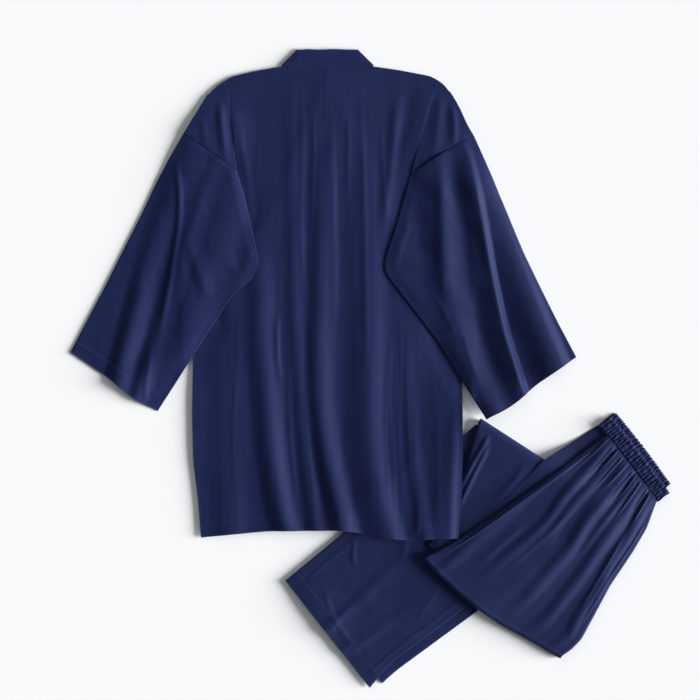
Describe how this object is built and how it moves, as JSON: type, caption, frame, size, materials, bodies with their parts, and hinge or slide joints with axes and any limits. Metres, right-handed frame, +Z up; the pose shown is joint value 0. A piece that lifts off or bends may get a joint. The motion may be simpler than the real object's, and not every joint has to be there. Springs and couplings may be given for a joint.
{
  "type": "kimono pyjama set",
  "caption": "Wrap-front kimono pyjama top laid face down with wide three-quarter sleeves, and pull-on pyjama trousers folded beside it",
  "frame": {"origin": "On the surface the set lies on, under the middle of its bounding box", "axes": "+Z up from the surface, +Y from the top's hem towards its collar, +X to the right seen from above with the collar away from the viewer"},
  "size_m": [0.9307, 0.9905, 0.022],
  "materials": {
    "navy_cotton": "woven navy cotton with a faint sheen"
  },
  "bodies": {
    "root": {"back_panel": "navy_cotton", "left_front": "navy_cotton", "right_front": "navy_cotton", "left_sleeve": "navy_cotton", "right_sleeve": "navy_cotton", "collar": "navy_cotton", "waistband": "navy_cotton", "left_leg": "navy_cotton", "right_leg": "navy_cotton", "left_leg_hem": "navy_cotton", "right_leg_hem": "navy_cotton", "trousers_inner_layers": "navy_cotton"}
  },
  "joints": []
}
